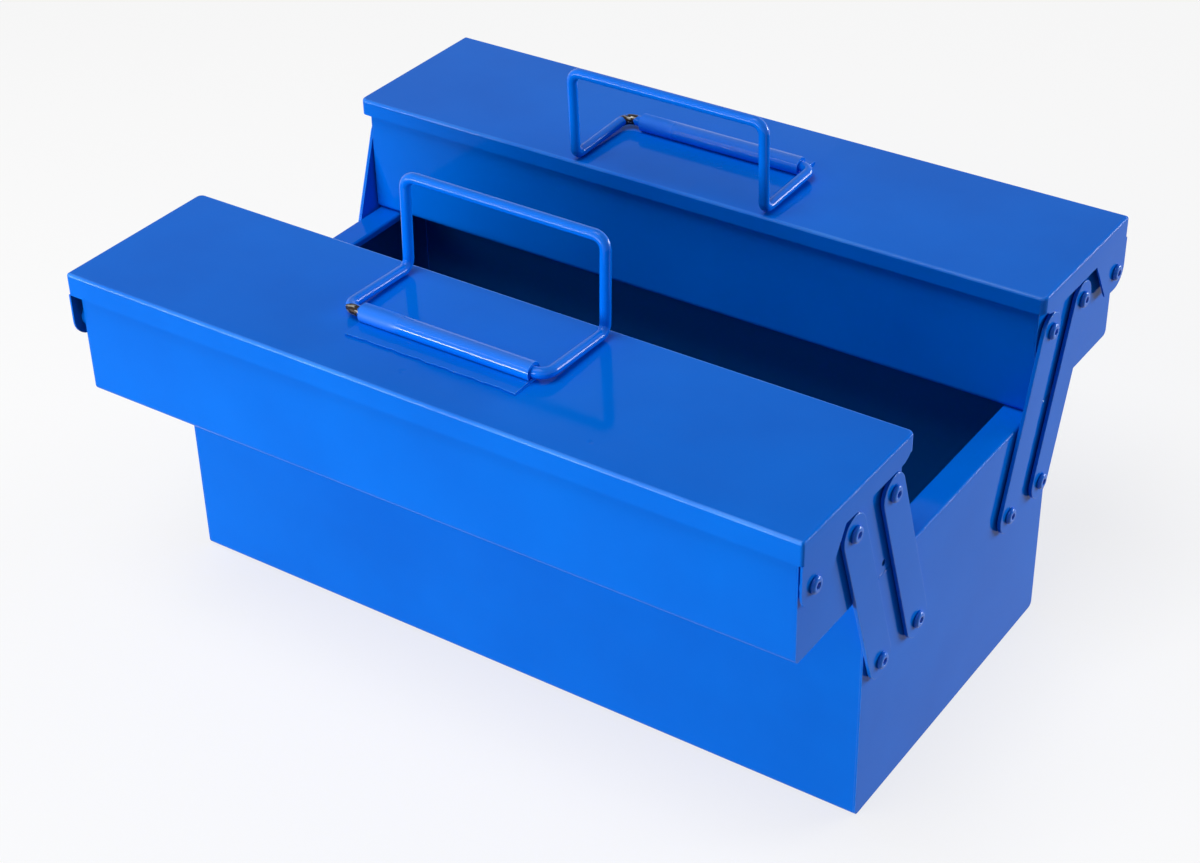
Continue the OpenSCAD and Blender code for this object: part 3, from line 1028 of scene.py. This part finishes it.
def rivet_groups():
    """Node, body and (y, z) places of each group of rivets."""
    groups = []
    for side in SIDES:
        ways, hinge = pivots(side), JOINTS[f"{side}_lid_hinge"]
        lower = [(low.y, low.z) for low, high in ways.values()]
        upper = [(high.y, high.z) for low, high in ways.values()]
        groups += [
            (f"{side}_lower_rivets", "base", lower),
            (f"{side}_upper_rivets", f"{side}_tray", upper),
            (f"{side}_hinge_rivets", f"{side}_tray", [(hinge.y, hinge.z)]),
        ]
    return groups


class TOOLBOX_OT_rivets(bpy.types.Operator):
    """Sets the rivets that the arms and the lids turn on, with dished heads and spread tails"""

    bl_idname = "tool_box.rivets"
    bl_label = "Rivets"

    def execute(self, context):
        for node, body, places in rivet_groups():
            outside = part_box(node)[1].x
            rivet = self.one(context.scene, outside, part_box("back_tray_end_right")[1].x)
            whole = spread_out(rivet, "box_" + node, places)
            install(whole, body, node)
        return {"FINISHED"}

    def one(self, scene, outside, wall):
        """A rivet along the X axis."""
        s, f = scene.tool_box_sheet, scene.tool_box_fittings
        rivet = drum(
            "rivet", f.head, f.head_height, (outside - f.head_height / 2, 0, 0), 32,
            [fitting_enamel(), edge_enamel_with_highlight()],
        )
        edit()
        under = outside - f.head_height
        # Head: rounded, with a dish in the middle that narrows inward
        pick("EDGE", at(x=outside))
        bend(f.dome, steps=5)
        pick("FACE", at(x=outside))
        bpy.ops.mesh.inset(thickness=f.head - f.dome - f.dish)
        extrude(x=-f.dish_depth)
        narrow = f.dish_floor / f.dish
        bpy.ops.transform.resize(value=(1, narrow, narrow))
        pick("EDGE", inner(at(x=outside)))
        bend(f.dish_edge, steps=2)
        # Shank, and a tail that is spread against the wall's inner face
        pick("FACE", at(x=under))
        bpy.ops.mesh.inset(thickness=f.head - f.shank)
        extrude(x=wall - s.sheet - under)
        extrude()
        wide = f.spread / f.shank
        bpy.ops.transform.resize(value=(1, wide, wide))
        extrude(x=-f.tail)
        pick("EDGE", at(x=wall - s.sheet - f.tail))
        bend(f.tail_edge, steps=3)
        face_outward()
        close()
        return rivet


class TOOLBOX_OT_washers(bpy.types.Operator):
    """Lays washers between the arms and the walls, and spacers behind the hinge lugs"""

    bl_idname = "tool_box.washers"
    bl_label = "Washers and spacers"

    def execute(self, context):
        f = context.scene.tool_box_fittings
        for rivets, body, places in rivet_groups():
            node = rivets.replace("hinge_rivets", "hinge_spacers").replace("rivets", "washers")
            wall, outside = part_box("back_tray_end_right")[1].x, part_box(node)[1]
            radius = outside.z - places[0][1]
            depth = outside.x - wall
            spot = (wall + depth / 2, 0, 0)
            washer = drum(
                "washer", radius, depth, spot, 40, [fitting_enamel(), edge_enamel_with_highlight()]
            )
            drill(washer, f.washer_hole, spot, steps=32)
            round_edges(washer, f.washer_edge, sharp=60)
            install(spread_out(washer, "box_" + node, places), body, node)
        return {"FINISHED"}


# The stage


def shown(tree, unseen, seen):
    """Strength with one value for what the eye, gloss and glass see, and another for the rest."""
    rays = add_node(tree, "LightPath").outputs
    eye = add_node(
        tree, "Math", [rays["Is Camera Ray"], rays["Is Glossy Ray"]], operation="MAXIMUM"
    )
    eye = add_node(
        tree, "Math", [eye.outputs[0], rays["Is Transmission Ray"]], operation="MAXIMUM"
    )
    return add_node(tree, "MapRange", [eye.outputs[0], 0, 1, unseen, seen]).outputs["Result"]


def lay_floor(stage):
    """Plain pale floor. It throws little light on the box, and shows nearly white by itself."""
    deselect()
    bpy.ops.mesh.primitive_plane_add(size=FLOOR_SIZE, location=(0, 0, -FLOOR_DROP))
    floor = bpy.context.object
    settle(floor)
    floor.name = floor.data.name = "Floor"
    # Matt painted board: no gloss, only light thrown back evenly
    material = bpy.data.materials.new("Pale studio floor")
    material.use_nodes = True
    tree = material.node_tree
    shader = tree.nodes["Principled BSDF"]
    shader.inputs["Base Color"].default_value = (*stage.floor, 1)
    shader.inputs["Roughness"].default_value = 0.9
    shader.inputs["Specular IOR Level"].default_value = 0.0
    shader.inputs["Emission Color"].default_value = (1, 1, 1, 1)
    tree.links.new(shown(tree, 0, stage.lift), shader.inputs["Emission Strength"])
    floor.data.materials.append(material)


def light_room(scene, stage):
    """Even light from a plain room, which shows the backdrop's colour."""
    world = bpy.data.worlds.new("Plain room")
    scene.world = world
    world.use_nodes = True
    room = world.node_tree.nodes["Background"]
    room.inputs["Color"].default_value = (1, 1, 1, 1)
    strength = shown(world.node_tree, stage.sky, stage.backdrop[0])
    world.node_tree.links.new(strength, room.inputs["Strength"])


def hang_panel(scene, name, light, spot, size):
    """Oblong soft panel that gives the level on a white card at the middle of the box."""
    way = MIDDLE - Vector(spot)
    data = bpy.data.lights.new(name, "AREA")
    data.shape = "RECTANGLE"
    data.size, data.size_y = size
    data.energy = light * math.pi**2 * way.length_squared
    lamp = bpy.data.objects.new(name, data)
    lamp.location = spot
    lamp.rotation_euler = way.to_track_quat("-Z", "Y").to_euler()
    scene.collection.objects.link(lamp)


def place_camera(scene, lens):
    """Camera at the photograph's place, to the right of the front and looking down."""
    flat = Vector((-math.sin(AZIMUTH), math.cos(AZIMUTH), 0))
    ahead = flat * math.cos(HEIGHT) - Vector((0, 0, math.sin(HEIGHT)))
    right = Vector((math.cos(AZIMUTH), math.sin(AZIMUTH), 0))
    up = right.cross(ahead)
    across = math.cos(ROLL) * right + math.sin(ROLL) * up
    upward = math.cos(ROLL) * up - math.sin(ROLL) * right
    data = bpy.data.cameras.new("Camera")
    data.lens = lens
    data.sensor_width = 36
    data.sensor_fit = "HORIZONTAL"
    camera = bpy.data.objects.new("Camera", data)
    turn = Matrix((across, upward, -ahead)).transposed().to_4x4()
    camera.matrix_world = Matrix.Translation(EYE) @ turn
    scene.collection.objects.link(camera)
    scene.camera = camera


class TOOLBOX_OT_stage(bpy.types.Operator):
    """Lays the floor, sets the lamps and places the camera"""

    bl_idname = "tool_box.stage"
    bl_label = "Stage"

    def execute(self, context):
        stage = context.scene.tool_box_stage
        lay_floor(stage)
        light_room(context.scene, stage)
        for name, light, spot, size in PANELS:
            hang_panel(context.scene, name, getattr(stage, light), spot, size)
        place_camera(context.scene, stage.lens)
        return {"FINISHED"}


class TOOLBOX_PT_sidebar(bpy.types.Panel):
    """Lists the steps of the build, and the sizes and colours that they read"""

    bl_idname = "TOOLBOX_PT_sidebar"
    bl_label = "Tool box"
    bl_space_type = "VIEW_3D"
    bl_region_type = "UI"
    bl_category = "Tool box"

    def draw(self, context):
        for step in STEPS:
            self.layout.operator(step.bl_idname)
        for name, group in GROUPS.items():
            self.layout.label(text=group.__doc__)
            for size in group.__annotations__:
                self.layout.prop(getattr(context.scene, name), size)


STEPS = (
    TOOLBOX_OT_base_shell,
    TOOLBOX_OT_base_ends,
    TOOLBOX_OT_tray_shells,
    TOOLBOX_OT_tray_ends,
    TOOLBOX_OT_lids,
    TOOLBOX_OT_sleeves,
    TOOLBOX_OT_handles,
    TOOLBOX_OT_arms,
    TOOLBOX_OT_rivets,
    TOOLBOX_OT_washers,
    TOOLBOX_OT_stage,
)
GROUPS = {
    "tool_box_sheet": ToolBoxSheet,
    "tool_box_fittings": ToolBoxFittings,
    "tool_box_paint": ToolBoxPaint,
    "tool_box_stage": ToolBoxStage,
}


def register():
    """Registers the sizes, the steps and the panel."""
    for name, group in GROUPS.items():
        bpy.utils.register_class(group)
        setattr(bpy.types.Scene, name, PointerProperty(type=group))
    for step in (*STEPS, TOOLBOX_PT_sidebar):
        bpy.utils.register_class(step)


def unregister():
    """Takes them away again."""
    for step in (TOOLBOX_PT_sidebar, *reversed(STEPS)):
        bpy.utils.unregister_class(step)
    for name, group in GROUPS.items():
        delattr(bpy.types.Scene, name)
        bpy.utils.unregister_class(group)


def main():
    """Builds the whole box."""
    register()
    bpy.context.scene.view_settings.view_transform = "Standard"
    for step in STEPS:
        group, name = step.bl_idname.split(".")
        getattr(getattr(bpy.ops, group), name)()


if __name__ == "__main__":
    main()
